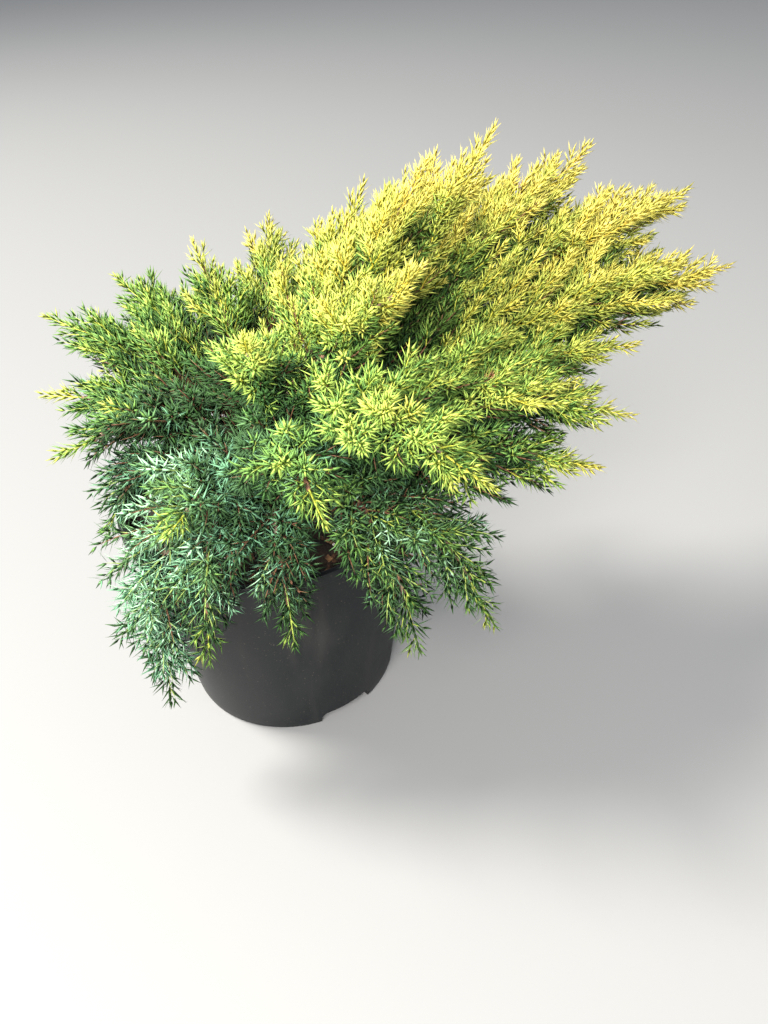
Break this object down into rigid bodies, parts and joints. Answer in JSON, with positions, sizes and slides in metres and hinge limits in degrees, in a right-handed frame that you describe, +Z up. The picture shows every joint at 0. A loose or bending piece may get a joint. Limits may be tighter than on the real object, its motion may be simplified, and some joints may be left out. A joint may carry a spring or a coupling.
{
  "type": "potted conifer",
  "caption": "Young spreading juniper in a black nursery pot, its low crown golden above and blue-green below, leaning out to one side.",
  "frame": {"origin": "centre of the pot's flat underside, on the floor it stands on", "axes": "+Z up, away from the floor; +X towards the crown's long side; -Y towards the side the picture was taken from"},
  "size_m": [0.5145, 0.3835, 0.4407],
  "materials": {
    "pot": "black moulded plastic, matt, lightly dusty",
    "potting_mix": "dark bark-based potting mix, rough",
    "bark": "reddish-brown flaking bark",
    "green_needles": "blue-green prickly needles with pale upper faces",
    "golden_needles": "golden-yellow to yellow-green short needles"
  },
  "bodies": {
    "root": {"pot": "pot", "potting_mix": "potting_mix", "stem": "bark", "bough_crown_leader": "bark", "bough_crown_front": "bark", "bough_crown_back": "bark", "bough_crown_left": "bark", "bough_crown_right": "bark", "bough_right_back_upper": "bark", "bough_right_back_far": "bark", "bough_right_far": "bark", "bough_right_long": "bark", "bough_right_front_upper": "bark", "bough_right_front_low": "bark", "bough_front_right": "bark", "bough_low_right": "bark", "bough_low_front_right": "bark", "bough_low_front": "bark", "bough_low_front_left": "bark", "bough_front_centre": "bark", "bough_front_left": "bark", "bough_front_upper": "bark", "bough_low_left": "bark", "bough_left_low": "bark", "bough_left_front": "bark", "bough_left": "bark", "bough_left_back": "bark", "bough_back_left": "bark", "bough_back": "bark", "bough_back_low": "bark", "bough_back_right": "bark", "foliage_crown_leader": "golden_needles", "foliage_crown_front": "golden_needles", "foliage_crown_back": "golden_needles", "foliage_crown_left": "golden_needles", "foliage_crown_right": "golden_needles", "foliage_right_back_upper": "golden_needles", "foliage_right_back_far": "golden_needles", "foliage_right_far": "golden_needles", "foliage_right_long": "golden_needles", "foliage_right_front_upper": "green_needles", "foliage_right_front_low": "green_needles", "foliage_front_right": "green_needles", "foliage_low_right": "green_needles", "foliage_low_front_right": "green_needles", "foliage_low_front": "green_needles", "foliage_low_front_left": "green_needles", "foliage_front_centre": "green_needles", "foliage_front_left": "green_needles", "foliage_front_upper": "green_needles", "foliage_low_left": "green_needles", "foliage_left_low": "green_needles", "foliage_left_front": "green_needles", "foliage_left": "green_needles", "foliage_left_back": "green_needles", "foliage_back_left": "golden_needles", "foliage_back": "golden_needles", "foliage_back_low": "green_needles", "foliage_back_right": "golden_needles"}
  },
  "joints": []
}
